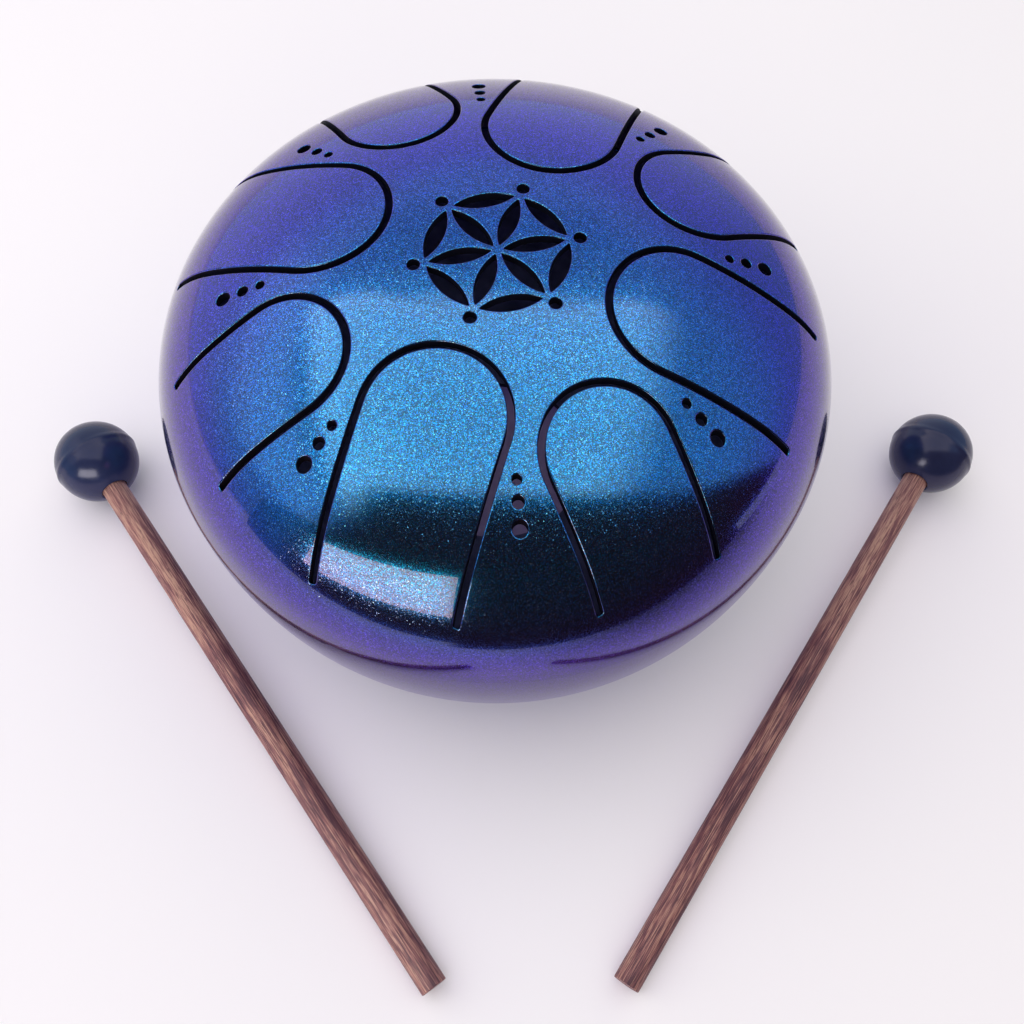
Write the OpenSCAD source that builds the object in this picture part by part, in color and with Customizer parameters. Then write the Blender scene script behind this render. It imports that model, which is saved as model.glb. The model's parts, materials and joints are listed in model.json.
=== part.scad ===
// Steel tongue drum: two pressed steel shells welded at the rim, on three rubber feet,
// with two ball mallets lying beside it.
// The origin is on the drum's axis, on the plane that it stands on. +Y points away from
// the player, +Z up.

/* [Upper shell] */
// Outside diameter at the seam
shell_d = 150; // [144:1:156]
// Thickness of the pressed steel
steel_t = 2; // [1.2:0.1:2.4]
// Radius of the crown, the flattest part of the top
crown_r = 295; // [260:5:330]
// Distance from the axis at which the crown passes into the shoulder
crown_edge = 20.5; // [19:0.1:21.5]
// Radius of the shoulder
shoulder_r = 82.2; // [78:0.2:87]
// Distance from the axis at which the shoulder passes into the side
shoulder_edge = 59.2; // [58:0.1:60.5]

/* [Lower shell] */
// Depth of the bowl, from the seam to its flat bottom
bowl_depth = 44.7; // [40:0.1:48]
// Radius of the bowl's side
bowl_side_r = 92; // [84:1:100]
// Turn of the bowl's side before its corner starts, in degrees
bowl_side_turn = 20; // [16:1:22]
// Diameter of the round sound port in the bottom
port_d = 46; // [36:1:54]

/* [Seam weld] */
// Gap between the two pressed edges, which the weld fills
weld_gap = 1.2; // [1:0.1:1.6]
// Radius of the bead that stands proud inside
weld_bead_r = 0.45; // [0.3:0.05:0.45]

/* [Tongues] */
// Width of the cut that frees each tongue
slot_w = 1.4; // [1:0.1:1.8]
// Width of a long tongue, between the middles of its slots
long_tongue_w = 28.8; // [27:0.2:30]
// Length of a long tongue, from its tip to its root
long_tongue_l = 44.6; // [42:0.2:46]
// Width of a short tongue, between the middles of its slots
short_tongue_w = 25.9; // [24:0.1:27]
// Length of a short tongue, from its tip to its root
short_tongue_l = 34.4; // [30:0.2:36]
// Distance from the axis to the tongues' roots
tongue_root = 68; // [67:0.5:69]
// Direction of the first tongue, the longest and lowest note, in degrees from +X
tongue_dir = -106; // [-180:1:180]

/* [Rosette] */
// Distance from the axis to the points where the petals meet
rosette_r = 14.85; // [13.5:0.05:16]
// Length of a petal
petal_l = 12.5; // [10.5:0.1:12.5]
// Width of a petal
petal_w = 3.5; // [2.5:0.1:3.7]
// Diameter of the six outer dots
rosette_dot_d = 2.6; // [1.6:0.1:3]
// Distance from the petals' meeting point to the outer dot's middle
rosette_dot_gap = 1.85; // [1.85:0.05:3]

/* [Dots between the tongues] */
// Distance from the axis to the smallest dot
dots_reach = 47.3; // [46.5:0.1:48.5]
// Diameter of the smallest dot
small_dot_d = 1.9; // [1.2:0.1:2.2]
// Diameter of the middle dot
middle_dot_d = 2.35; // [1.6:0.05:2.8]
// Diameter of the largest dot
large_dot_d = 3.05; // [2.4:0.05:3.6]
// Steel left between one dot and the next
dot_web = 1.65; // [1:0.05:2.2]

/* [Feet] */
// Height of the feet below the flat bottom
foot_h = 5; // [4:0.5:8]
// Diameter of a foot at its top
foot_d = 14; // [12:0.5:16]
// How much a foot narrows on each side towards the floor
foot_taper = 1; // [0:0.1:2]
// Diameter of the neck that passes through the shell
foot_neck_d = 6; // [4.5:0.5:7]
// Diameter of the barb that holds the foot from inside
foot_barb_d = 9; // [8:0.5:11]
// Height of the barb
foot_barb_h = 4; // [3:0.5:6]
// Distance from the drum's axis to each foot's axis
foot_reach = 40; // [37:0.5:41]
// Direction of the first foot, in degrees from +X
foot_dir = 90; // [0:5:115]

/* [Mallets] */
// Diameter of the rubber ball
ball_d = 20.6; // [18:0.1:24]
// Radius of the raised line where the ball's mould halves met
mould_line_r = 0.2; // [0.1:0.05:0.3]
// Diameter of the wooden stick
stick_d = 6.1; // [5:0.1:8]
// Distance from the ball's centre to the stick's free end
mallet_l = 153.5; // [120:0.5:180]
// How far the stick reaches past the ball's centre, inside the ball
stick_past = 3; // [0:0.5:5]
// How much the ball's bore is tighter than the stick, on the radius
ball_squeeze = 0.05; // [0.02:0.01:0.1]
// Where the left ball lies
left_ball_x = -102.3; // [-112:0.1:-101]
left_ball_y = -7.2; // [-12:0.1:0]
// Direction of the left stick, from ball to free end, in degrees
left_stick_dir = -52.2; // [-58:0.1:-51]
// Where the right ball lies
right_ball_x = 113.5; // [105:0.1:130]
right_ball_y = 4; // [-6:0.1:10]
// Direction of the right stick, from ball to free end, in degrees
right_stick_dir = -121.7; // [-128:0.1:-112]

/* [Hidden] */

// Length of each tongue as a share of the long or the short tongue's length. Long and
// short ones take turns round the drum, and the last trim of the length tunes the note.
tongue_length_shares = [0.997, 0.998, 1.001, 0.989, 1.006, 0.964, 0.994, 1.003];
// How far out each tongue's slots reach, as a share of the distance to the roots
tongue_root_shares = [1.008, 1.01, 0.965, 0.995, 0.995, 0.995, 0.99, 0.985];
tongue_count = len(tongue_length_shares);
tongue_step = 360 / tongue_count;
petal_count = 6;
petal_step = 360 / petal_count;
foot_count = 3;
foot_step = 360 / foot_count;

// One overrun serves all cuts
cut_over = 1;

shell_r = shell_d / 2;
bowl_bottom_z = foot_h;
seam_z = bowl_bottom_z + bowl_depth;

// The upper profile is three arcs. Slopes are counted from level, and each arc starts a
// little flatter than the last one ends, so that they cross instead of only touching.
crossing = 0.6;
crossing_lap = 0.45;
crown_slope = asin(crown_edge / crown_r);
shoulder_start = crown_slope - crossing;
shoulder_x = crown_edge - shoulder_r * sin(shoulder_start);
shoulder_slope = asin((shoulder_edge - shoulder_x) / shoulder_r);
side_start = shoulder_slope - crossing;
side_r = (shell_r - shoulder_edge) / (1 - sin(side_start));
side_x = shell_r - side_r;
shoulder_z = seam_z + side_r * cos(side_start) - shoulder_r * cos(shoulder_slope);
crown_z = shoulder_z + shoulder_r * cos(shoulder_start) - crown_r * cos(crown_slope);
top_z = crown_z + crown_r;
upper_rim_z = seam_z + weld_gap / 2;
lower_rim_z = seam_z - weld_gap / 2;

// The bowl's profile is a long side arc, a tighter corner arc and the flat bottom, which
// cross in the same way
corner_start = bowl_side_turn - crossing;
corner_r = (bowl_depth - bowl_side_r * sin(bowl_side_turn))
    / (cos(crossing) - sin(corner_start));
bowl_side_x = shell_r - bowl_side_r;
flat_r = bowl_side_x + bowl_side_r * cos(bowl_side_turn) - corner_r * cos(corner_start);
corner_z = bowl_bottom_z + corner_r * cos(crossing);
bowl_side_end_z = seam_z - bowl_side_r * sin(bowl_side_turn);

// A petal is the lens where two equal discs overlap
petal_arc_r = (petal_l * petal_l + petal_w * petal_w) / (4 * petal_w);
petal_arc_off = petal_arc_r - petal_w / 2;
outer_petal_reach = rosette_r * cos(petal_step / 2);

middle_dot_reach = dots_reach + (small_dot_d + middle_dot_d) / 2 + dot_web;
large_dot_reach = middle_dot_reach + (middle_dot_d + large_dot_d) / 2 + dot_web;

ball_r = ball_d / 2;
stick_r = stick_d / 2;
// A mallet rests on its ball's raised line and on the lower edge of its free end, so the
// stick dips
ball_rest_z = ball_r + mould_line_r;
stick_dip = asin(ball_rest_z / norm([mallet_l, stick_r])) - atan(stick_r / mallet_l);

steel_blue = [0.16, 0.38, 0.75];
steel_violet = [0.42, 0.36, 0.62];
rubber_black = [0.08, 0.08, 0.1];
ball_slate = [0.12, 0.14, 0.2];
stick_wood = [0.5, 0.34, 0.3];

$fn = 96;

// What lies under one arc of the upper profile, from the axis out to a given reach
module under_arc(x, z, r, reach) {
    intersection() {
        translate([x, z]) circle(r);
        translate([0, upper_rim_z]) square([reach, shell_d]);
    }
}

// What lies under the upper profile, or under one drawn inside it
module under_profile(inset) {
    under_arc(0, crown_z, crown_r - inset, crown_edge + crossing_lap);
    under_arc(shoulder_x, shoulder_z, shoulder_r - inset, shoulder_edge + crossing_lap);
    under_arc(side_x, seam_z, side_r - inset, shell_d);
}

// What lies inside the bowl's profile, or inside one drawn within it
module inside_bowl(inset) {
    intersection() {
        union() {
            intersection() {
                translate([bowl_side_x, seam_z]) circle(bowl_side_r - inset);
                translate([0, bowl_side_end_z - crossing_lap]) square(shell_d);
            }
            translate([flat_r, corner_z]) circle(corner_r - inset);
            translate([0, bowl_bottom_z]) square([flat_r, bowl_depth]);
        }
        translate([0, bowl_bottom_z + inset])
            square([shell_d, lower_rim_z - bowl_bottom_z - inset]);
    }
}

// The cut that frees one tongue, pointing along +X from the drum's axis: half a ring
// round the tip and a straight leg on each side
module tongue_slot(width, length, root) {
    tip_r = width / 2;
    tip_x = root - length + tip_r;
    ring_r = tip_r + slot_w / 2;
    intersection() {
        translate([tip_x, 0]) difference() {
            circle(ring_r);
            circle(ring_r - slot_w);
        }
        translate([tip_x - 2 * ring_r, -2 * ring_r]) square([2 * ring_r, 4 * ring_r]);
    }
    for (side = [-1, 1])
        translate([tip_x, side * tip_r - slot_w / 2]) square([root - tip_x, slot_w]);
}

module tongue_slots() {
    for (i = [0 : tongue_count - 1]) {
        long = i % 2 == 0;
        rotate(tongue_dir + i * tongue_step)
            tongue_slot(
                long ? long_tongue_w : short_tongue_w,
                (long ? long_tongue_l : short_tongue_l) * tongue_length_shares[i]
                    + (tongue_root_shares[i] - 1) * tongue_root,
                tongue_root * tongue_root_shares[i]
            );
    }
}

// A lens-shaped petal that lies along Y
module petal() {
    intersection() {
        translate([-petal_arc_off, 0]) circle(petal_arc_r);
        translate([petal_arc_off, 0]) circle(petal_arc_r);
    }
}

// Six petals from the middle, six along the sides of the hexagon and a dot at each corner
module rosette() {
    for (i = [0 : petal_count - 1]) rotate(tongue_dir + i * petal_step) {
        translate([rosette_r / 2, 0]) rotate(90) petal();
        rotate(petal_step / 2) translate([outer_petal_reach, 0]) petal();
        translate([rosette_r + rosette_dot_gap, 0]) circle(d = rosette_dot_d);
    }
}

module dot_rows() {
    for (i = [0 : tongue_count - 1]) rotate(tongue_dir + (i + 1 / 2) * tongue_step) {
        translate([dots_reach, 0]) circle(d = small_dot_d);
        translate([middle_dot_reach, 0]) circle(d = middle_dot_d);
        translate([large_dot_reach, 0]) circle(d = large_dot_d);
    }
}

// Takes the tongue slots, the rosette and the dots out of a piece, straight down as they
// are cut in the pressed shell
module pierced() {
    difference() {
        children();
        translate([0, 0, seam_z]) linear_extrude(top_z - seam_z + cut_over) {
            tongue_slots();
            rosette();
            dot_rows();
        }
    }
}

// Crown, shoulder and side are one pressed sheet
module upper_shell() {
    color(steel_blue) pierced() rotate_extrude() difference() {
        under_profile(0);
        under_profile(steel_t);
    }
}

module at_foot(i) {
    rotate(foot_dir + i * foot_step) translate([foot_reach, 0, 0]) children();
}

module lower_shell() {
    color(steel_violet) difference() {
        rotate_extrude() difference() {
            inside_bowl(0);
            inside_bowl(steel_t);
            square([port_d / 2, seam_z]);
        }
        for (i = [0 : foot_count - 1]) at_foot(i)
            translate([0, 0, bowl_bottom_z - cut_over])
                cylinder(h = steel_t + 2 * cut_over, d = foot_neck_d);
    }
}

// A ring of weld between the two edges, ground flush outside, with its bead inside
module seam_weld() {
    color(steel_violet) rotate_extrude() {
        translate([shell_r - steel_t, seam_z - weld_gap / 2]) square([steel_t, weld_gap]);
        intersection() {
            translate([shell_r - steel_t, seam_z]) circle(weld_bead_r, $fn = 24);
            translate([shell_r - steel_t - weld_gap, seam_z - weld_gap])
                square([weld_gap, 2 * weld_gap]);
        }
    }
}

// A push-in rubber foot: the pad, the neck in the shell's hole and the barb inside
module foot() {
    color(rubber_black) rotate_extrude($fn = 48) polygon([
        [0, 0],
        [foot_d / 2 - foot_taper, 0],
        [foot_d / 2, foot_h],
        [foot_neck_d / 2, foot_h],
        [foot_neck_d / 2, foot_h + steel_t],
        [foot_barb_d / 2, foot_h + steel_t],
        [foot_neck_d / 2, foot_h + steel_t + foot_barb_h],
        [0, foot_h + steel_t + foot_barb_h]
    ]);
}

module foot_back() { at_foot(0) foot(); }
module foot_left() { at_foot(1) foot(); }
module foot_right() { at_foot(2) foot(); }

// Lays a mallet down: its ball at the place given, its stick along +X dipping to the floor
module lay_mallet(x, y, dir) {
    translate([x, y, ball_rest_z]) rotate([0, stick_dip, dir]) children();
}

// A rubber ball with the thin raised line of its mould, and a blind bore for the stick
module mallet_head() {
    color(ball_slate) rotate([0, 90, 0]) rotate_extrude() difference() {
        union() {
            intersection() {
                circle(ball_r);
                translate([0, -ball_r]) square([ball_r, ball_d]);
            }
            translate([ball_r, 0]) circle(mould_line_r, $fn = 16);
        }
        translate([0, -stick_past]) square([stick_r - ball_squeeze, stick_past + ball_d]);
    }
}

module mallet_stick() {
    color(stick_wood) translate([-stick_past, 0, 0]) rotate([0, 90, 0])
        cylinder(h = stick_past + mallet_l, r = stick_r);
}

module mallet_left_head() {
    lay_mallet(left_ball_x, left_ball_y, left_stick_dir) mallet_head();
}

module mallet_left_stick() {
    lay_mallet(left_ball_x, left_ball_y, left_stick_dir) mallet_stick();
}

module mallet_right_head() {
    lay_mallet(right_ball_x, right_ball_y, right_stick_dir) mallet_head();
}

module mallet_right_stick() {
    lay_mallet(right_ball_x, right_ball_y, right_stick_dir) mallet_stick();
}

upper_shell();
lower_shell();
seam_weld();
foot_back();
foot_left();
foot_right();
mallet_left_head();
mallet_left_stick();
mallet_right_head();
mallet_right_stick();
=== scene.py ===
import json
import math

import bpy
import numpy as np
from mathutils import Matrix, Vector, geometry, kdtree

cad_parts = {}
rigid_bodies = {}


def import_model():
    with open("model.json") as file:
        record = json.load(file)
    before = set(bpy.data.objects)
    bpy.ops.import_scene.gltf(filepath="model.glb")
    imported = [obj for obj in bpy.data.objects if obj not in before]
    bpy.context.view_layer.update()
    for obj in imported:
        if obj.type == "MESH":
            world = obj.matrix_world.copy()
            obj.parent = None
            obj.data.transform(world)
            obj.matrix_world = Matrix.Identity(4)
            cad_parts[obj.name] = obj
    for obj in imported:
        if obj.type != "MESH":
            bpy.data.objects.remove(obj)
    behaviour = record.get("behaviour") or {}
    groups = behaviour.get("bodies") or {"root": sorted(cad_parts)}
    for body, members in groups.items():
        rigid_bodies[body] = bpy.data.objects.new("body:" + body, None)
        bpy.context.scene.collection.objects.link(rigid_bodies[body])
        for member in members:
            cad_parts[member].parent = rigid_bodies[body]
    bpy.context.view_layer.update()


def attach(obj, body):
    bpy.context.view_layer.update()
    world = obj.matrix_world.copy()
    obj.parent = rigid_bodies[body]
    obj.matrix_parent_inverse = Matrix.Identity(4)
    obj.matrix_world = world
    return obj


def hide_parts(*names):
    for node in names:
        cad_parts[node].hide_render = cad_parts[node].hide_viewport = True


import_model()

scene = bpy.context.scene
MM = 0.001


# Camera. It looks down on the drum from the player's side, held by hand and so turned a
# little round its own line of sight.
look_down = math.radians(63.763)
roll = math.radians(2.053)
eye = (0.004559, -0.142543, 0.264112)
ahead = Vector((0, math.cos(look_down), -math.sin(look_down)))
level = Vector((1, 0, 0))
upright = Vector((0, math.sin(look_down), math.cos(look_down)))
picture_right = level * math.cos(roll) + upright * math.sin(roll)
picture_up = upright * math.cos(roll) - level * math.sin(roll)
camera_data = bpy.data.cameras.new("camera")
camera_data.sensor_width = 36
camera_data.lens = 39.303
camera_data.shift_x = 0.000636
camera_data.shift_y = 0.000392
camera_data.clip_start = 0.01
camera = bpy.data.objects.new("camera", camera_data)
turn = Matrix((picture_right, picture_up, -ahead)).transposed().to_4x4()
camera.matrix_world = Matrix.Translation(eye) @ turn
scene.collection.objects.link(camera)
scene.camera = camera


# Studio. A pale room lights the table evenly, a bright panel stands low in front at the
# left, and behind the camera hangs a dark cloth that only the glossy surfaces show.
class Socket:
    """One output of a node, on which sums make the Maths nodes they need."""

    def __init__(self, tree, output=None):
        self.tree = tree
        self.output = output

    def node(self, kind, settings={}, inputs={}, output=0):
        """Any node, by its type: its settings come first, then its sockets' values or links."""
        made = self.tree.nodes.new("ShaderNode" + kind)
        stops = settings.get("stops", ())
        for name, value in settings.items():
            if name != "stops":
                setattr(made, name, value)
        if stops:
            for _ in stops[2:]:
                made.color_ramp.elements.new(1)
        for i, (place, shade) in enumerate(stops):
            made.color_ramp.elements[i].position = place
            made.color_ramp.elements[i].color = (*shade, 1) if len(shade) == 3 else shade
        for name, value in inputs.items():
            if isinstance(value, Socket):
                self.tree.links.new(value.output, made.inputs[name])
            else:
                made.inputs[name].default_value = value
        return Socket(self.tree, made.outputs[output] if made.outputs else None)

    def maths(self, operation, *values):
        return self.node("Math", {"operation": operation}, dict(enumerate(values)))

    def __add__(self, other):
        return self.maths("ADD", self, other)

    def __sub__(self, other):
        return self.maths("SUBTRACT", self, other)

    def __rsub__(self, other):
        return self.maths("SUBTRACT", other, self)

    def __mul__(self, other):
        return self.maths("MULTIPLY", self, other)

    def __truediv__(self, other):
        return self.maths("DIVIDE", self, other)

    def __pow__(self, other):
        return self.maths("POWER", self, other)

    __radd__ = __add__
    __rmul__ = __mul__

    def shades(self, *stops):
        """A colour for each value, through a ramp."""
        return self.node("ValToRGB", {"stops": stops}, {"Fac": self})

    def vector_maths(self, operation, *values):
        return self.node("VectorMath", {"operation": operation}, dict(enumerate(values)))

    def blended(self, factor, first, second, how="MIX"):
        """Two colours mixed by a factor."""
        return self.node("Mix", {"data_type": "RGBA", "blend_type": how},
                         {0: factor, 6: first, 7: second}, 2)

    def scaled(self, amount, colour):
        """A colour or a way by an amount."""
        return self.node("VectorMath", {"operation": "SCALE"}, {0: colour, "Scale": amount})

    def length(self):
        """How far a place is from the middle."""
        return self.node("VectorMath", {"operation": "LENGTH"}, {0: self}, "Value")

    def between(self, low, high, start=0.0, end=1.0):
        """This value taken smoothly from one range to another."""
        return self.node("MapRange", {"interpolation_type": "SMOOTHSTEP"}, {
            "Value": self, "From Min": low, "From Max": high, "To Min": start, "To Max": end})


def new_material(name):
    """An empty material and a start for its nodes."""
    material = bpy.data.materials.new(name)
    material.use_nodes = True
    material.node_tree.nodes.clear()
    return material, Socket(material.node_tree)


scene.view_settings.view_transform = "Standard"
world = bpy.data.worlds.new("room")
world.use_nodes = True
world.node_tree.nodes.clear()
room = Socket(world.node_tree)
outward = room.node("TexCoord", output="Generated")
toward = {axis: room.node("SeparateXYZ", {}, {"Vector": outward}, axis) for axis in "XYZ"}
aloft = room.maths("MAXIMUM", toward["Z"], 0.02)
sideways, backward = toward["X"] / aloft, toward["Y"] / aloft
# The gloss mirrors a soft box overhead, which is brighter away from its middle.
soft_box = (sideways.between(-0.94, -0.70) * (1 - sideways.between(0.36, 0.84))
            * (1 - backward.between(0.60, 0.69)) * toward["Z"].between(0.2, 0.3))
spread = sideways * sideways + backward * backward
soft_box = soft_box * (1 + 1.8 * spread + 0.5 * backward.between(0.54, 0.61))
# It also mirrors a bright wall at the back left, a pale sheet at the left, and one corner at
# the front left that no light reaches.
flat_share = room.maths("SQRT", 1.0001 - toward["Z"] * toward["Z"])
window_side = ((toward["Y"] * 0.87 - toward["X"] * 0.5) / flat_share).between(0.15, 0.98)
wall = window_side * (1 - toward["Z"].between(0.10, 0.72)) * 0.35
wall = wall + window_side * (1 - toward["Z"].between(0.64, 0.73)) * 0.45
left_sheet = ((toward["X"] / flat_share).between(-0.8, -0.6, 1, 0)
              * toward["Z"].between(0.38, 0.5) * (1 - toward["Z"].between(0.64, 0.74)))
lit = 1 - ((-0.4 * toward["Z"] - toward["Y"]).between(-0.04, 0.05)
           * (toward["X"] / flat_share).between(-0.90, -0.74))
blue_wall, dark_wall = (0.20, 0.46, 0.70), (0.09, 0.025, 0.03)
glow = room.scaled(soft_box, (0.66, 0.66, 0.50))
for part in (room.scaled(wall, (0.62, 0.62, 0.55)), room.scaled(left_sheet, (0.30, 0.30, 0.30)),
             blue_wall):
    glow = room.vector_maths("ADD", glow, part)
glow = room.vector_maths("ADD", room.scaled(lit, glow), dark_wall)
# All else gets an even daylight, and the camera sees a plain pale backdrop.
mirrored = room.node("LightPath", output="Is Glossy Ray")
even = 0.73 + 0.22 * toward["Z"] - 0.40 * toward["X"] * toward["X"] + 0.28 * toward["Y"]
daylight = room.scaled(even, (1.02, 1.035, 0.90))
seen = room.node("LightPath", output="Is Camera Ray")
backdrop = room.node("Background", {}, {
    "Color": room.blended(seen, daylight, (1.0, 0.975, 1.0, 1))})
room_light = room.node("MixShader", {}, {
    0: mirrored, 1: backdrop, 2: room.node("Background", {}, {"Color": glow})})
room.node("OutputWorld", {}, {"Surface": room_light})
scene.world = world


def soft_light(name, size, place, target, watts, colour):
    """A soft box turned towards a point."""
    lamp = bpy.data.lights.new(name, "AREA")
    lamp.shape = "RECTANGLE"
    lamp.size, lamp.size_y = size
    lamp.energy = watts
    lamp.color = colour
    holder = bpy.data.objects.new(name, lamp)
    facing = (Vector(target) - Vector(place)).to_track_quat("-Z", "Y")
    holder.matrix_world = Matrix.Translation(place) @ facing.to_matrix().to_4x4()
    scene.collection.objects.link(holder)
    holder.visible_camera = False
    return holder


def lit_by(*lights):
    """A collection of the pieces that these lights fall on."""
    pieces = bpy.data.collections.new("lit_by_" + lights[0].name)
    for light in lights:
        light.light_linking.receiver_collection = pieces
    return pieces.objects


panel_size = (207 * MM, 106 * MM)
panel_place, panel_target = (-0.1345, -0.223, 0.126), (-0.1345, 0, 0.126)
panel_area = math.pi * panel_size[0] * panel_size[1]
panel = soft_light("bright_panel", panel_size, panel_place, panel_target,
                   4.8 * panel_area, (1, 0.47, 0.37))
panel.visible_diffuse = False
pale_panel = soft_light("pale_panel", panel_size, panel_place, panel_target,
                        6.5 * panel_area, (0.95, 1.12, 1))
shown_in_shell, shown_in_mallets = lit_by(panel), lit_by(pale_panel)
key = soft_light("key_light", (0.9, 0.9), (-1.1, 0.0, 0.6), (0, 0, 0), 2.4, (1, 1.15, 0.7))
table_glow = soft_light("table_glow", (2, 2), (-0.7, -0.1, 1.2), (0, 0, 0), 7.8, (1, 0.79, 1.32))
table_glow.data.use_shadow = False
shown_on_table = lit_by(table_glow)
for holder in (key, table_glow):
    holder.visible_glossy = False


def new_piece(name, points, faces, ways, material, others=(), within=None):
    """A mesh from its points, its faces and the way the surface looks at each point. within
    tells which of the materials each face has, where there are others."""
    mesh = bpy.data.meshes.new(name)
    corners = np.array([f[:3] for f in faces])
    sides = np.cross(points[corners[:, 1]] - points[corners[:, 0]],
                     points[corners[:, 2]] - points[corners[:, 0]])
    inward = (sides * ways[corners].sum(1)).sum(1) < 0
    mesh.from_pydata(points, [], [f[::-1] if turned else f for f, turned in zip(faces, inward)])
    mesh.shade_smooth()
    mesh.normals_split_custom_set_from_vertices(ways / np.linalg.norm(ways, axis=1)[:, None])
    mesh.materials.append(material)
    for other in others:
        mesh.materials.append(other)
    if others:
        mesh.polygons.foreach_set("material_index", np.array(within, np.int32))
    piece = bpy.data.objects.new(name, mesh)
    scene.collection.objects.link(piece)
    return piece


def flat_sheet(name, corners, material):
    """One flat face between four corners, cut into a grid."""
    count = 12
    a, b, c, d = (np.array(p, float) for p in corners)
    u, v = np.meshgrid(np.linspace(0, 1, count), np.linspace(0, 1, count))
    u, v = u.reshape(-1, 1), v.reshape(-1, 1)
    points = (a * (1 - u) + b * u) * (1 - v) + (d * (1 - u) + c * u) * v
    cell = [i * count + j for i in range(count - 1) for j in range(count - 1)]
    faces = [(k, k + 1, k + count + 1, k + count) for k in cell]
    way = np.cross(b - a, d - a)
    piece = new_piece(name, points, faces, np.tile(way, (len(points), 1)), material)
    return piece


table_paint, start = new_material("table_paint")
spot = start.node("TexCoord", output="Object")
cloudy = start.node("TexNoise", {}, {"Vector": spot, "Scale": 3.0, "Detail": 2.0})
table_colour = cloudy.shades((0.35, (0.90, 0.87, 0.93)), (0.65, (0.93, 0.90, 0.95)))
# Under the drum the table is painted darker and violet: painted shade, on top of the shade the drum
# itself casts.
painted_shade_under_drum = spot.length().between(0.045, 0.062, 1, 0)
table_colour = start.blended(painted_shade_under_drum, table_colour, (0.42, 0.37, 0.57, 1))
table_shader = start.node("BsdfPrincipled", {}, {
    "Base Color": table_colour, "Roughness": 0.55, "Specular IOR Level": 0.3})
start.node("OutputMaterial", {}, {"Surface": table_shader})
table_reach = 3
table = flat_sheet("table", [(x * table_reach, y * table_reach, 0) for x, y in (
    (-1, -1), (1, -1), (1, 1), (-1, 1))], table_paint)
shown_on_table.link(table)

cloth_black, start = new_material("dark_cloth")
spot = start.node("TexCoord", output="Object")
place = {axis: start.node("SeparateXYZ", {}, {"Vector": spot}, axis) for axis in "XY"}
# The cloth glows faintly, and blue at its left end: painted light that the glossy surfaces mirror.
bluish_glow_end = place["X"].between(-0.37, -0.24, 1, 0)
cloth_and_shadow_dark = (0.08, 0.028, 0.032, 1)
cloth_shader = start.node("Emission", {}, {
    "Color": start.blended(bluish_glow_end, cloth_and_shadow_dark, (0.13, 0.30, 0.46, 1))})
start.node("OutputMaterial", {}, {"Surface": cloth_shader})
# A sheet on the table that only the glossy surfaces show. It is the cloth's hem lying forward, and
# painted shadow: the cloth's shadow on the table in front and to the right, and a painted contact
# shadow in a ring round the drum, violet near it.
hem_shade, start = new_material("hem_and_painted_shadow")
spot = start.node("TexCoord", output="Object")
place = {axis: start.node("SeparateXYZ", {}, {"Vector": spot}, axis) for axis in "XY"}
shade = (place["Y"].between(-0.212, -0.204, 1, 0) * place["X"].between(-0.04, -0.02)
         + place["Y"].between(-0.215, -0.02, 0.8, 0) * place["X"].between(-0.02, 0.14)
         + spot.length().between(0.09, 0.12, 0.32, 0))
hem_colour = start.blended(spot.length().between(0.12, 0.15), (0.12, 0.08, 0.34, 1), cloth_and_shadow_dark)
dark = start.node("Emission", {}, {"Color": hem_colour})
clear = start.node("BsdfTransparent")
start.node("OutputMaterial", {}, {
    "Surface": start.node("MixShader", {}, {0: shade, 1: clear, 2: dark})})
cloth_y, cloth_top, cloth_right = -0.24, 0.25, 0.62
cloth_left, hem_left, hem_back, hem_z = -0.55, -0.14, 0.14, 0.5 * MM
cloth = flat_sheet("dark_cloth_hung", [
    (cloth_right, cloth_y, 0), (cloth_left, cloth_y, 0),
    (cloth_left, cloth_y, cloth_top), (cloth_right, cloth_y, cloth_top)], cloth_black)
hem_and_shadow_sheet = flat_sheet("cloth_hem_and_painted_shadow", [
    (cloth_right, cloth_y, hem_z), (cloth_right, hem_back, hem_z),
    (hem_left, hem_back, hem_z), (hem_left, cloth_y, hem_z)], hem_shade)
for ray in ("camera", "diffuse", "shadow", "transmission"):
    setattr(cloth, "visible_" + ray, False)
    setattr(hem_and_shadow_sheet, "visible_" + ray, False)


# Upper shell. A disc of 2 mm steel pressed into a dome. Its tongues, rosette and dots are
# cut with a laser, and blue metallic paint and clear lacquer then round off their edges.
steel = 2 * MM
shell_r = 75 * MM
seam_z = 49.7 * MM
weld_gap = 1.2 * MM
rim_points = 384
arc_overlap = 0.45 * MM
# The three arcs of the dome: distance from the axis, height and radius of each, and how far
# out it reaches.
dome_arcs = [(0, -204.0913 * MM, 295 * MM, 20.5 * MM),
             (15.6468 * MM, 8.1389 * MM, 82.2 * MM, 59.2 * MM),
             (42.0192 * MM, seam_z, 32.9808 * MM, 76 * MM)]


def dome_height(r, inset=0.0):
    """Height of the dome's outer face at a distance from its axis, or of a face within it."""
    heights = [np.where(r <= reach + arc_overlap,
                        z + np.sqrt(np.maximum((radius - inset) ** 2 - (r - x) ** 2, 0)), 0)
               for x, z, radius, reach in dome_arcs]
    return np.max(heights, 0)


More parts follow.
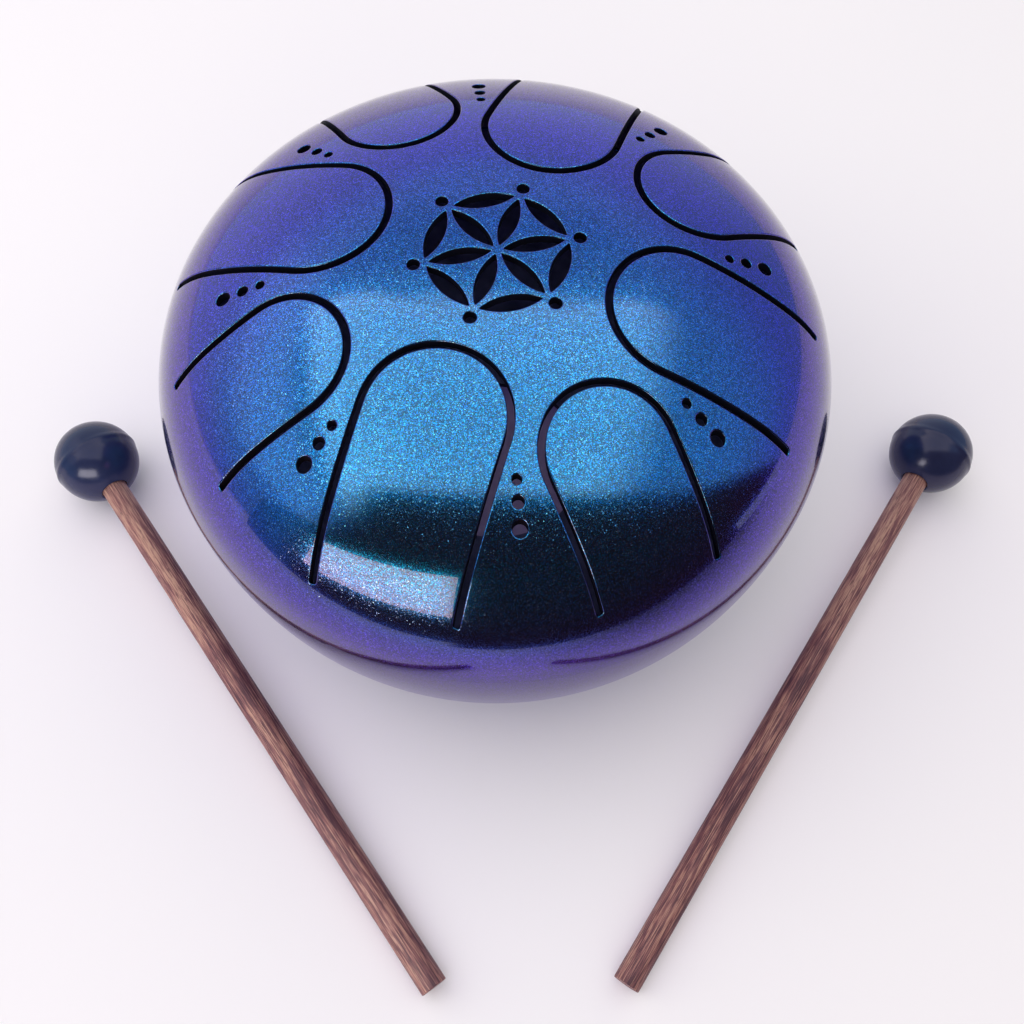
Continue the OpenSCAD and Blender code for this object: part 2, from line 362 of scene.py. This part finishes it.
# The slope is eased over the joins of the arcs, so that the gloss shows no crease there, and
# turns back to the arc's own slope from 62 mm to 67 mm out.
fine_r = np.arange(0, 74.95, 0.05) * MM
fine_slope = np.select([fine_r < reach for *_, reach in dome_arcs],
                       [np.arcsin(np.clip((fine_r - x) / radius, -1, 1))
                        for x, _, radius, _ in dome_arcs])
fine_slope[0] = 0
eased = 40
padded_slope = np.concatenate([-fine_slope[eased:0:-1], fine_slope,
                               np.full(eased, fine_slope[-1])])
eased_slope = np.convolve(padded_slope, np.ones(2 * eased + 1) / (2 * eased + 1), "valid")
ease_out = np.clip((fine_r / MM - 62) / 5, 0, 1)
fine_slope = eased_slope * (1 - ease_out) + fine_slope * ease_out


def dome_face(r):
    """Height of the outer face, and the outward and upward shares of the way it looks."""
    slope = np.interp(r, fine_r, fine_slope)
    return dome_height(r), np.sin(slope), np.cos(slope)


def dome_back(r):
    """The same for the inner face, which looks down and in."""
    slope = np.interp(r, fine_r, fine_slope)
    return dome_height(r, steel), -np.sin(slope), -np.cos(slope)


def traced(arcs, step, closed=True):
    """Points along arcs joined by straight lines, and the way out of the solid at each.
    An arc is its centre, radius, first and last angle, and -1 where the solid is outside it."""
    runs = []
    for x, y, radius, first, last, side in arcs:
        count = max(2 if radius == 0 and first == last else 5,
                    round(math.radians(abs(last - first)) * radius / step) + 1)
        angles = np.radians(np.linspace(first, last, 1 if radius == 0 else count))
        way = np.stack([np.cos(angles), np.sin(angles)], 1)
        runs.append((np.array([x, y]) + radius * way, side * way))
    points, ways = [], []
    for (here, way), (then, _) in zip(runs, runs[1:] + runs[:1]):
        points.append(here)
        ways.append(way)
        count = max(round(np.linalg.norm(then[0] - here[-1]) / step), 1)
        share = np.arange(1, count)[:, None] / count
        points.append(here[-1] + (then[0] - here[-1]) * share)
        ways.append(np.repeat(way[-1:], count - 1, 0))
    if not closed:
        points, ways = points[:-1], ways[:-1]
    return np.concatenate(points), np.concatenate(ways)


def turned_about(cut, degrees, reach=0.0):
    """A cut moved out along +X and then turned about the drum's axis."""
    c, s = math.cos(math.radians(degrees)), math.sin(math.radians(degrees))
    spin = np.array([[c, s], [-s, c]])
    points, ways = cut
    return (points + np.array([reach, 0])) @ spin, ways @ spin


def tongue_cut(width, length, root):
    """The slot round one tongue that points along +X: half a ring at the tip and two legs."""
    slot_w = 1.4 * MM
    corner = 0.35 * MM
    outer = width / 2 + slot_w / 2
    inner = outer - slot_w
    tip = root - length + width / 2
    end = root - corner
    return traced([
        (tip, 0, outer, 270, 90, 1),
        (end, outer - corner, corner, 90, 0, 1), (end, inner + corner, corner, 0, -90, 1),
        (tip, 0, inner, 90, 270, -1),
        (end, -inner - corner, corner, 90, 0, 1), (end, -outer + corner, corner, 0, -90, 1),
    ], 0.7 * MM)


def round_cut(diameter, step=0.5 * MM):
    """A hole that stops one step short of its own start."""
    last = 360 - 360 * step / (math.pi * diameter)
    return traced([(0, 0, diameter / 2, 0, last, 1)], step)


def petal_cut(length, width):
    """A lens that lies along Y, with its two points a little blunted."""
    blunt = 0.12 * MM
    radius = (length ** 2 + width ** 2) / (4 * width)
    off = radius - width / 2
    tip = math.sqrt((radius - blunt) ** 2 - off ** 2)
    turn = math.degrees(math.atan2(tip, off))
    return traced([
        (-off, 0, radius, -turn, turn, 1), (0, tip, blunt, turn, 180 - turn, 1),
        (off, 0, radius, 180 - turn, 180 + turn, 1), (0, -tip, blunt, 180 + turn, 360 - turn, 1),
    ], 0.5 * MM)


tongue_dir = -106
tongue_root = 68 * MM
tongue_sizes = ((28.8 * MM, 44.6 * MM), (25.9 * MM, 34.4 * MM))
length_shares = [0.997, 0.998, 1.001, 0.989, 1.006, 0.964, 0.994, 1.003]
root_shares = [1.008, 1.01, 0.965, 0.995, 0.995, 0.995, 0.99, 0.985]
dot_places = ((47.3 * MM, 1.9 * MM), (51.075 * MM, 2.35 * MM), (55.425 * MM, 3.05 * MM))
slot_ease = 0.32 * MM
fine_ease = 0.25 * MM
dome_cuts = []
notes, spokes_of_rosette = 8, 6
for i in range(notes):
    width, length = tongue_sizes[i % 2]
    root = tongue_root * root_shares[i]
    length = length * length_shares[i] + root - tongue_root
    here = tongue_dir + 360 / notes * i
    dome_cuts.append((turned_about(tongue_cut(width, length, root), here), slot_ease))
    for reach, diameter in dot_places:
        dome_cuts.append((turned_about(round_cut(diameter), here + 180 / notes, reach),
                          fine_ease))
rosette_r = 14.85 * MM
petal = petal_cut(12.5 * MM, 3.5 * MM)
lying = turned_about(petal, 90)
tip_dot, tip_dot_r = round_cut(2.6 * MM), rosette_r + 1.85 * MM
for i in range(spokes_of_rosette):
    here = tongue_dir + 360 / spokes_of_rosette * i
    for cut, turn, reach in ((lying, 0, rosette_r / 2),
                             (petal, 30, rosette_r * math.cos(math.pi / 6)),
                             (tip_dot, 0, tip_dot_r)):
        dome_cuts.append((turned_about(cut, here + turn, reach), fine_ease))


def inside(points, loop):
    """Which points lie inside a closed loop."""
    hit = np.zeros(len(points), bool)
    low, high = loop.min(0), loop.max(0)
    near = np.nonzero(((points > low) & (points < high)).all(1))[0]
    x, y = points[near, 0], points[near, 1]
    odd = np.zeros(len(near), bool)
    for (x0, y0), (x1, y1) in zip(loop, np.roll(loop, -1, 0)):
        if y0 != y1:
            odd ^= ((y0 > y) != (y1 > y)) & (x < (x1 - x0) * (y - y0) / (y1 - y0) + x0)
    hit[near] = odd
    return hit


def filled_disc(loops, disc_r, stretch, step):
    """A round sheet cut into triangles round its holes. The loops' points come first, then
    the grid between them, then the sheet's edge. stretch gives the length along the sheet
    for a distance from the axis."""
    clearance, golden_turn = 0.45, 0.618
    angles = np.arange(rim_points) * 2 * math.pi / rim_points
    rim = disc_r * np.stack([np.cos(angles), np.sin(angles)], 1)
    radii = np.linspace(0, disc_r, 400)
    lengths = stretch(radii)
    grid = [np.zeros((1, 2))]
    for k in range(1, round(lengths[-1] / step)):
        length = k * step
        count = max(round(2 * math.pi * length / step), 6)
        spun = (np.arange(count) / count + k * golden_turn) * 2 * math.pi
        grid.append(np.interp(length, lengths, radii) * np.stack([np.cos(spun), np.sin(spun)], 1))
    grid = np.concatenate(grid)
    edges = np.concatenate(loops + [rim])
    tree = kdtree.KDTree(len(edges))
    for i, (x, y) in enumerate(edges):
        tree.insert((x, y, 0), i)
    tree.balance()
    clear = np.array([tree.find((x, y, 0))[2] > step * clearance for x, y in grid])
    for loop in loops:
        clear &= ~inside(grid, loop)
    points = np.concatenate(loops + [grid[clear], rim])
    reach = np.linalg.norm(points, axis=1)
    flat = points * (np.interp(reach, radii, lengths) / np.maximum(reach, 1e-9))[:, None] / MM
    first, seams, owner = 0, [], np.full(len(points), -1)
    for number, loop in enumerate(loops):
        last = first + len(loop)
        seams += [(i, i + 1 if i + 1 < last else first) for i in range(first, last)]
        owner[first:last] = number
        first = last
    first = len(points) - rim_points
    seams += [(i, i + 1 if i + 1 < len(points) else first) for i in range(first, len(points))]
    _, _, faces, came, _, _ = geometry.delaunay_2d_cdt(
        [Vector(p) for p in flat.tolist()], seams, [], 0, 1e-7)
    faces = np.array([[came[v][0] for v in face] for face in faces])
    owners = owner[faces]
    doubtful = (owners[:, 0] >= 0) & (owners == owners[:, :1]).all(1)
    keep = np.ones(len(faces), bool)
    middles = points[faces].mean(1)
    for number, loop in enumerate(loops):
        own = np.nonzero(doubtful & (owners[:, 0] == number))[0]
        keep[own[inside(middles[own], loop)]] = False
    return points, faces[keep]


def pressed_sheet(name, cuts, disc_r, stretch, face, back, out, rim, finishes, step=1.2 * MM):
    """A pressed steel sheet with cuts through it. face and back give height and way for a
    distance from the axis, out is 1 where the face looks up, and rim lists the rows from the
    disc's edge round the sheet's own edge to the back: distance, height and way of each."""
    turns = np.radians([0, 22.5, 45, 67.5, 90])
    roundness = 0.85
    painted_rows = 3
    blunt = 0.12 * MM
    loops = [points + ways * ease for (points, ways), ease in cuts]
    flat, faces = filled_disc(loops, disc_r, stretch, step)
    reach = np.linalg.norm(flat, axis=1)
    outward = flat / np.maximum(reach, 1e-9)[:, None]
    total = len(flat)

    def lifted(points, side, depth=0.0):
        r = np.linalg.norm(points, axis=1)
        z, share_out, share_up = side(r)
        way = points / np.maximum(r, 1e-9)[:, None] * np.asarray(share_out)[:, None]
        return (np.column_stack([points, z - out * depth]),
                np.column_stack([way, np.broadcast_to(share_up, len(points))]))

    back_flat = flat.copy()
    first = 0
    for (points, ways), _ in cuts:
        back_flat[first:first + len(points)] = points + ways * blunt
        first += len(points)
    front_points, front_ways = lifted(flat, face)
    back_points, back_ways = lifted(back_flat, back)
    all_points, all_ways = [front_points, back_points], [front_ways, back_ways]
    all_faces = faces.tolist() + (faces + total).tolist()
    within = [0] * len(faces) + [2] * len(faces)
    count = 2 * total
    first = 0
    for (points, ways), ease in cuts:
        number = len(points)
        rows = [np.arange(first, first + number)]
        wall = np.column_stack([-ways, np.zeros(number)])
        for turn in turns[1:]:
            here = points + ways * ease * (1 - math.sin(turn))
            place, way = lifted(here, face, ease * roundness * (1 - math.cos(turn)))
            all_points.append(place)
            all_ways.append(way * math.cos(turn) + wall * math.sin(turn))
            rows.append(np.arange(count, count + number))
            count += number
        place, _ = lifted(points, back, -blunt)
        all_points.append(place)
        all_ways.append(wall)
        rows += [np.arange(count, count + number), np.arange(first, first + number) + total]
        count += number
        for k, (upper, lower) in enumerate(zip(rows, rows[1:])):
            after = np.roll(np.arange(number), -1)
            all_faces += np.column_stack([upper, upper[after], lower[after], lower]).tolist()
            within += [int(k >= painted_rows)] * number
        first += number
    angles = np.arange(rim_points) * 2 * math.pi / rim_points
    spokes = np.stack([np.cos(angles), np.sin(angles)], 1)
    rows = [np.arange(total - rim_points, total)]
    painted = [share_out > 0 for _, _, share_out, _ in rim] + [False]
    for r, z, share_out, share_up in rim:
        all_points.append(np.column_stack([spokes * r, np.full(rim_points, z)]))
        all_ways.append(np.column_stack([spokes * share_out, np.full(rim_points, share_up)]))
        rows.append(np.arange(count, count + rim_points))
        count += rim_points
    rows.append(rows[0] + total)
    after = np.roll(np.arange(rim_points), -1)
    for outside, upper, lower in zip(painted, rows, rows[1:]):
        all_faces += np.column_stack([upper, upper[after], lower[after], lower]).tolist()
        within += [0 if outside else 2] * rim_points
    return new_piece(name, np.concatenate(all_points), all_faces, np.concatenate(all_ways),
                     finishes[0], finishes[1:], within)


def metallic_paint(name):
    """Blue metallic paint under clear lacquer. Its flakes lie almost level and are each a
    little different, and they turn from blue to violet as they slant away from the eye."""
    material, start = new_material(name)
    spot = start.node("TexCoord", output="Object")
    flake_size = 0.16 * MM
    cells = {"Vector": spot, "Scale": 1 / flake_size, "Randomness": 1.0}
    flake = start.node("TexVoronoi", {"voronoi_dimensions": "3D"}, cells, "Color")
    parts = {part: flake.node("SeparateColor", {}, {"Color": flake}, part)
             for part in ("Red", "Green", "Blue")}
    lean = start.vector_maths("SUBTRACT", flake, (0.5, 0.5, 0.5))
    rare = parts["Blue"] ** 30
    lean = start.scaled(rare * 0.26 + 0.05, lean)
    way = start.vector_maths("ADD", start.node("NewGeometry", output="Normal"), lean)
    way = start.vector_maths("NORMALIZE", way)
    facing = start.node("LayerWeight", {}, {"Blend": 0.5, "Normal": way}, "Facing")
    flop = facing.shades((0.05, (1, 1, 1)), (0.10, (0.92,) * 3), (0.161, (0.80,) * 3),
                         (0.234, (0.58,) * 3), (0.293, (0.37,) * 3), (0.357, (0.18,) * 3),
                         (0.398, (0.10,) * 3), (0.485, (0.04,) * 3), (0.593, (0, 0, 0)))
    patches = start.node("TexNoise", {}, {"Vector": spot, "Scale": 45.0, "Detail": 3.0})
    shine = parts["Red"] * 0.7 + parts["Red"] ** 4 * 1.6 + patches * 0.3 + 0.17
    grey = shine.node("CombineColor", {}, {"Red": shine, "Green": shine, "Blue": shine})
    pale = parts["Blue"].between(0.80, 0.90)
    blue = start.blended(parts["Green"], (0.002, 0.25, 0.42, 1), (0.004, 0.14, 0.52, 1))
    blue = start.blended(pale, blue, (0.11, 0.34, 0.60, 1))
    violet = start.blended(pale, (0.036, 0.004, 0.31, 1), (0.09, 0.03, 0.40, 1))
    lacquer = parts["Green"].between(0, 1, 0.75, 1)
    coats = {"Metallic": 1.0, "Roughness": 0.16, "Specular Tint": (0.7, 0.68, 0.62, 1),
             "Normal": way, "Coat Weight": lacquer, "Coat Roughness": 0.015, "Coat IOR": 1.55}
    far, near = (start.node("BsdfPrincipled", {}, {
        "Base Color": start.blended(1.0, colour, grey, "MULTIPLY"), **coats})
        for colour in (violet, blue))
    both = start.node("MixShader", {}, {0: flop, 1: far, 2: near})
    start.node("OutputMaterial", {}, {"Surface": both})
    return material


def overspray_and_painted_shade(name, thin, thick):
    """Paint that drifted over steel in a dull and gritty film, from a thin to a thick one; made
    near black, the film is painted shade.
    """
    material, start = new_material(name)
    spot = start.node("TexCoord", output="Object")
    drift = start.node("TexNoise", {}, {"Vector": spot, "Scale": 160.0, "Detail": 5.0})
    grit = start.node("TexNoise", {}, {"Vector": spot, "Scale": 2400.0, "Detail": 2.0})
    bump = start.node("Bump", {}, {"Strength": 0.3, "Distance": 0.0001, "Height": grit})
    film = start.node("BsdfPrincipled", {}, {
        "Base Color": drift.shades((0.35, thin), (0.7, thick)),
        "Roughness": grit.between(0.3, 0.7, 0.5, 0.7), "Specular IOR Level": 0.2,
        "Normal": bump})
    start.node("OutputMaterial", {}, {"Surface": film})
    return material


# The cut walls get a near-black film: dark overspray, made near black as painted shade that keeps
# the slots dark inside.
cut_wall_painted_dark = overspray_and_painted_shade("cut_wall_painted_dark", (0.004, 0.004, 0.012), (0.009, 0.010, 0.030))
dome_inside = overspray_and_painted_shade("dome_inside", (0.20, 0.15, 0.27), (0.30, 0.24, 0.42))
bowl_inside = overspray_and_painted_shade("bowl_inside", (0.15, 0.16, 0.40), (0.24, 0.26, 0.60))

disc_r = 71 * MM
side_x, side_z, side_r, _ = dome_arcs[2]
inner_r = side_r - steel
face_start = math.asin((disc_r - side_x) / side_r)
face_end = math.acos(weld_gap / 2 / side_r)
back_start = math.asin((disc_r - side_x) / inner_r)
back_end = math.acos(weld_gap / 2 / inner_r)
dome_rim = [(side_x + side_r * math.sin(a), side_z + side_r * math.cos(a), math.sin(a), math.cos(a))
            for a in np.linspace(face_start, face_end, 24)[1:]]
dome_rim += [(side_x + inner_r * math.sin(a), side_z + inner_r * math.cos(a),
              -math.sin(a), -math.cos(a)) for a in np.linspace(back_end, back_start, 16)[:-1]]


def dome_stretch(r):
    """Length along the dome from its top to a distance from its axis."""
    lengths = np.concatenate([[0], np.cumsum(np.diff(fine_r) / np.cos(fine_slope[1:]))])
    return np.interp(r, fine_r, lengths)


upper_shell = pressed_sheet("upper_shell_pressed", dome_cuts, disc_r, dome_stretch, dome_face,
                            dome_back, 1, dome_rim,
                            (metallic_paint("upper_paint"), cut_wall_painted_dark, dome_inside))
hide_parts("upper_shell")
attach(upper_shell, "drum")
shown_in_shell.link(upper_shell)


# Lower shell. The same steel pressed into a flat-bottomed bowl, with the sound port and
# the holes for the three feet cut in its bottom before it is painted.
bottom_z = 5 * MM
flat_disc_r = 49 * MM
corner_x, corner_z, corner_r = 50.7589 * MM, 24.8169 * MM, 19.818 * MM
bowl_x, bowl_r = -17 * MM, 92 * MM
port_d, port_ease = 46 * MM, 0.8 * MM
foot_hole_d, foot_hole_ease = 6 * MM, 0.3 * MM
foot_places = [(40 * MM, 90 + 120 * i) for i in range(3)]
bowl_cuts = [(round_cut(port_d, 0.7 * MM), port_ease)]
bowl_cuts += [(turned_about(round_cut(foot_hole_d), angle, reach), foot_hole_ease)
              for reach, angle in foot_places]


def bowl_rows(inset, side):
    """Rows up the bowl's face, or up one within it, from its flat bottom to its edge."""
    corner, bowl = corner_r - inset, bowl_r - inset
    low, middle, top = math.radians(-89.4), math.radians(-19.7), -math.asin(weld_gap / 2 / bowl)
    rows = [(corner_x + corner * math.cos(a), corner_z + corner * math.sin(a), a)
            for a in np.linspace(low, middle, 26)]
    rows += [(bowl_x + bowl * math.cos(a), seam_z + bowl * math.sin(a), a)
             for a in np.linspace(middle, top, 24)[1:]]
    return [(r, z, side * math.cos(a), side * math.sin(a)) for r, z, a in rows]


lower_shell = pressed_sheet(
    "lower_shell_pressed", bowl_cuts, flat_disc_r, lambda r: r,
    lambda r: (np.full(len(r), bottom_z), np.zeros(len(r)), -1.0),
    lambda r: (np.full(len(r), bottom_z + steel), np.zeros(len(r)), 1.0),
    -1, bowl_rows(0, 1) + bowl_rows(steel, -1)[::-1],
    (metallic_paint("lower_paint"), cut_wall_painted_dark, bowl_inside), 1.6 * MM)
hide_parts("lower_shell")
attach(lower_shell, "drum")
shown_in_shell.link(lower_shell)


# Seam weld. A bead run round between the two edges, ground flush outside and painted over,
# so that only its inner side still stands proud.
def turned_piece(name, path, material, around=96, place=None, closed=False):
    """A round piece turned about its own Z from a path of distance and height, then laid in
    its place. Points on the axis become one point. "turning" keeps each point as turned."""
    points, ways = path
    angles = np.arange(around) * 2 * math.pi / around
    spokes = np.stack([np.cos(angles), np.sin(angles)], 1)
    made, looks, rows, count = [], [], [], 0
    for (r, z), (share_out, share_up) in zip(points, ways):
        if r < 1e-7:
            made.append([[0, 0, z]])
            looks.append([[0, 0, share_up]])
            rows.append(np.full(around, count))
            count += 1
        else:
            made.append(np.column_stack([spokes * r, np.full(around, z)]))
            looks.append(np.column_stack([spokes * share_out, np.full(around, share_up)]))
            rows.append(np.arange(count, count + around))
            count += around
    after = np.roll(np.arange(around), -1)
    faces = []
    for upper, lower in zip(rows, rows[1:] + (rows[:1] if closed else [])):
        for a, b, c, d in np.column_stack([upper, upper[after], lower[after], lower]).tolist():
            faces.append([a, b, d] if c == d else [a, c, d] if a == b else [a, b, c, d])
    made, looks = np.concatenate(made), np.concatenate(looks)
    turned = made
    if place:
        laid = np.array(place)
        made, looks = made @ laid[:3, :3].T + laid[:3, 3], looks @ laid[:3, :3].T
    piece = new_piece(name, made, faces, looks, material)
    kept = piece.data.attributes.new("turning", "FLOAT_VECTOR", "POINT")
    kept.data.foreach_set("vector", turned.ravel())
    return piece


bead = 0.45 * MM
weld_path = traced([
    (shell_r, seam_z - weld_gap / 2, 0, 0, 0, 1), (shell_r, seam_z + weld_gap / 2, 0, 0, 0, 1),
    (shell_r - steel, seam_z + weld_gap / 2, 0, 180, 180, 1),
    (shell_r - steel, seam_z, bead, 90, 270, 1),
    (shell_r - steel, seam_z - weld_gap / 2, 0, 180, 180, 1)], 0.3 * MM)
weld = turned_piece("seam_weld_ground", weld_path, metallic_paint("weld_paint"), rim_points,
                    closed=True)
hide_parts("seam_weld")
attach(weld, "drum")
shown_in_shell.link(weld)


# Feet. Three black rubber buttons pushed through holes in the bottom, each held by the
# barb on its neck inside the shell.
foot_rubber, start = new_material("foot_rubber")
spot = start.node("Attribute", {"attribute_name": "turning"}, {}, "Vector")
dusty = start.node("TexNoise", {}, {"Vector": spot, "Scale": 420.0, "Detail": 4.0})
gritty = start.node("TexNoise", {}, {"Vector": spot, "Scale": 3500.0, "Detail": 2.0})
foot_bump = start.node("Bump", {}, {"Strength": 0.25, "Distance": 0.0001, "Height": gritty})
foot_shader = start.node("BsdfPrincipled", {}, {
    "Base Color": dusty.shades((0.35, (0.012, 0.012, 0.014)), (0.7, (0.035, 0.034, 0.036))),
    "Roughness": dusty.between(0.3, 0.7, 0.55, 0.75), "Normal": foot_bump})
start.node("OutputMaterial", {}, {"Surface": foot_shader})
foot_path = traced([
    (0, 0, 0, -90, -90, 1), (5.4, 0.6, 0.6, -90, 10, 1), (6.5, 4.5, 0.5, 10, 90, 1),
    (3.2, 5.2, 0.2, 270, 180, -1), (3.2, 6.8, 0.2, 180, 90, -1), (4.3, 7.2, 0.2, -90, 20, 1),
    (2.8, 10.8, 0.2, 20, 90, 1), (0, 11, 0, 90, 90, 1)], 0.4, False)
foot_path = (foot_path[0] * MM, foot_path[1])
for node, (reach, angle) in zip(("foot_back", "foot_left", "foot_right"), foot_places):
    spot_x, spot_y = reach * math.cos(math.radians(angle)), reach * math.sin(math.radians(angle))
    foot = turned_piece(node + "_button", foot_path, foot_rubber, 72,
                        Matrix.Translation((spot_x, spot_y, 0)))
    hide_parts(node)
    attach(foot, "drum")


# Mallets. Each is a moulded ball of dark slate rubber, with the fine raised line where the
# halves of its mould met, pushed on a straight stick of reddish wood.
ball_r = 10.3 * MM
stick_r = 3.05 * MM
mallet_l = 153.5 * MM
mould_line = 0.2 * MM
line_width = 0.8 * MM
ball_rest = ball_r + mould_line
# How far a mallet dips when it rests on its ball and on the free end of its stick.
dip = math.asin(ball_rest / math.hypot(mallet_l, stick_r)) - math.atan(stick_r / mallet_l)

ball_rubber, start = new_material("ball_rubber")
spot = start.node("Attribute", {"attribute_name": "turning"}, {}, "Vector")
mottle = start.node("TexNoise", {}, {"Vector": spot, "Scale": 160.0, "Detail": 4.0})
skin = start.node("TexNoise", {}, {"Vector": spot, "Scale": 2200.0, "Detail": 2.0})
ball_bump = start.node("Bump", {}, {"Strength": 0.08, "Distance": 0.00006, "Height": skin})
ball_shader = start.node("BsdfPrincipled", {}, {
    "Base Color": mottle.shades((0.3, (0.012, 0.017, 0.056)), (0.7, (0.017, 0.023, 0.072))),
    "Roughness": mottle.between(0.3, 0.7, 0.18, 0.22), "Specular IOR Level": 0.42,
    "Specular Tint": (1.0, 0.80, 1.0, 1), "Normal": ball_bump})
start.node("OutputMaterial", {}, {"Surface": ball_shader})

stick_wood, start = new_material("stick_wood")
spot = start.node("Attribute", {"attribute_name": "turning"}, {}, "Vector")
drawn_out = start.node("Mapping", {}, {"Vector": spot, "Scale": (1.0, 1.0, 0.03)})
bands = start.node("TexNoise", {}, {
    "Vector": drawn_out, "Scale": 2900.0, "Detail": 3.0, "Roughness": 0.7})
fibres = start.node("TexNoise", {}, {"Vector": drawn_out, "Scale": 6000.0, "Detail": 3.0})
short = start.node("Mapping", {}, {"Vector": spot, "Scale": (1.0, 1.0, 0.12)})
pores = start.node("TexNoise", {}, {"Vector": short, "Scale": 3600.0, "Detail": 2.0})
clouds = start.node("TexNoise", {}, {"Vector": short, "Scale": 300.0, "Detail": 2.0})
down_stick = start.node("SeparateXYZ", {}, {"Vector": spot}, "Z")
grain = (bands * 0.38 + fibres * 0.38 + clouds * 0.24).between(0.40, 0.60)
# The stick is also made lighter towards its ball end.
grain = grain + down_stick.between(0.01, 0.08, 0.42, 0)
stick_colour = grain.shades((0.10, (0.066, 0.019, 0.036)), (0.45, (0.155, 0.047, 0.065)),
                            (0.72, (0.285, 0.105, 0.110)), (1.00, (0.440, 0.220, 0.190)))
open_pore = pores.between(0.57, 0.68)
stick_colour = start.blended(open_pore * 0.65, stick_colour, (0.075, 0.023, 0.034, 1))
stick_bump = start.node("Bump", {}, {
    "Strength": 0.5, "Distance": 0.0001, "Height": fibres - open_pore * 0.5})
stick_shader = start.node("BsdfPrincipled", {}, {
    "Base Color": stick_colour, "Roughness": grain.between(0.2, 0.8, 0.62, 0.48),
    "Normal": stick_bump})
start.node("OutputMaterial", {}, {"Surface": stick_shader})

mouth = 0.5 * MM
mouth_z = math.sqrt((ball_r - mouth) ** 2 - (stick_r + mouth) ** 2)
mouth_turn = math.degrees(math.atan2(mouth_z, stick_r + mouth))
skin_turn = np.radians(np.concatenate([np.linspace(-89.5, -13, 32), np.linspace(-12.5, 12.5, 36),
                                       np.linspace(13, mouth_turn, 22)]))
line_share = np.exp(-(skin_turn * ball_r / line_width) ** 2)
skin_r = ball_r + mould_line * line_share
skin_slope = -2 * skin_turn * ball_r / line_width ** 2 * mould_line * line_share
skin_points = np.stack([np.cos(skin_turn), np.sin(skin_turn)], 1) * skin_r[:, None]
skin_ways = np.stack([np.cos(skin_turn) + skin_slope * np.sin(skin_turn),
                      np.sin(skin_turn) - skin_slope * np.cos(skin_turn)], 1)
bore_r, bore_z = stick_r - 0.02 * MM, -3 * MM
mouth_points, mouth_ways = traced([
    (stick_r + mouth, mouth_z, mouth, mouth_turn, 180, 1),
    (bore_r, 0, 0, 180, 180, 1), (bore_r, bore_z + 0.1 * MM, 0, 180, 180, 1),
    (0, bore_z, 0, 90, 90, 1)], 0.4 * MM, False)
pole = np.array([[0.0, -ball_r]])
ball_path = (np.concatenate([pole, skin_points, mouth_points[1:]]),
             np.concatenate([pole / ball_r, skin_ways, mouth_ways[1:]]))
end_ease = 0.25 * MM
stick_path = traced([
    (0, bore_z, 0, -90, -90, 1), (stick_r - 0.1 * MM, bore_z + 0.1 * MM, 0.1 * MM, -90, 0, 1),
    (stick_r - end_ease, mallet_l - end_ease, end_ease, 0, 90, 1), (0, mallet_l, 0, 90, 90, 1),
], 1.2 * MM, False)
for side, x, y, direction in (("left", -102.3, -7.2, -52.2), ("right", 113.5, 4.0, -121.7)):
    laid = (Matrix.Translation((x * MM, y * MM, ball_rest))
            @ Matrix.Rotation(math.radians(direction), 4, "Z")
            @ Matrix.Rotation(dip + math.pi / 2, 4, "Y"))
    head = turned_piece(f"mallet_{side}_ball", ball_path, ball_rubber, 128, laid)
    stick = turned_piece(f"mallet_{side}_rod", stick_path, stick_wood, 96, laid)
    for piece, node, slot in ((head, "head", "ball_rubber"), (stick, "stick", "stick_wood")):
        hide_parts(f"mallet_{side}_{node}")
        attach(piece, f"mallet_{side}")
        shown_in_mallets.link(piece)
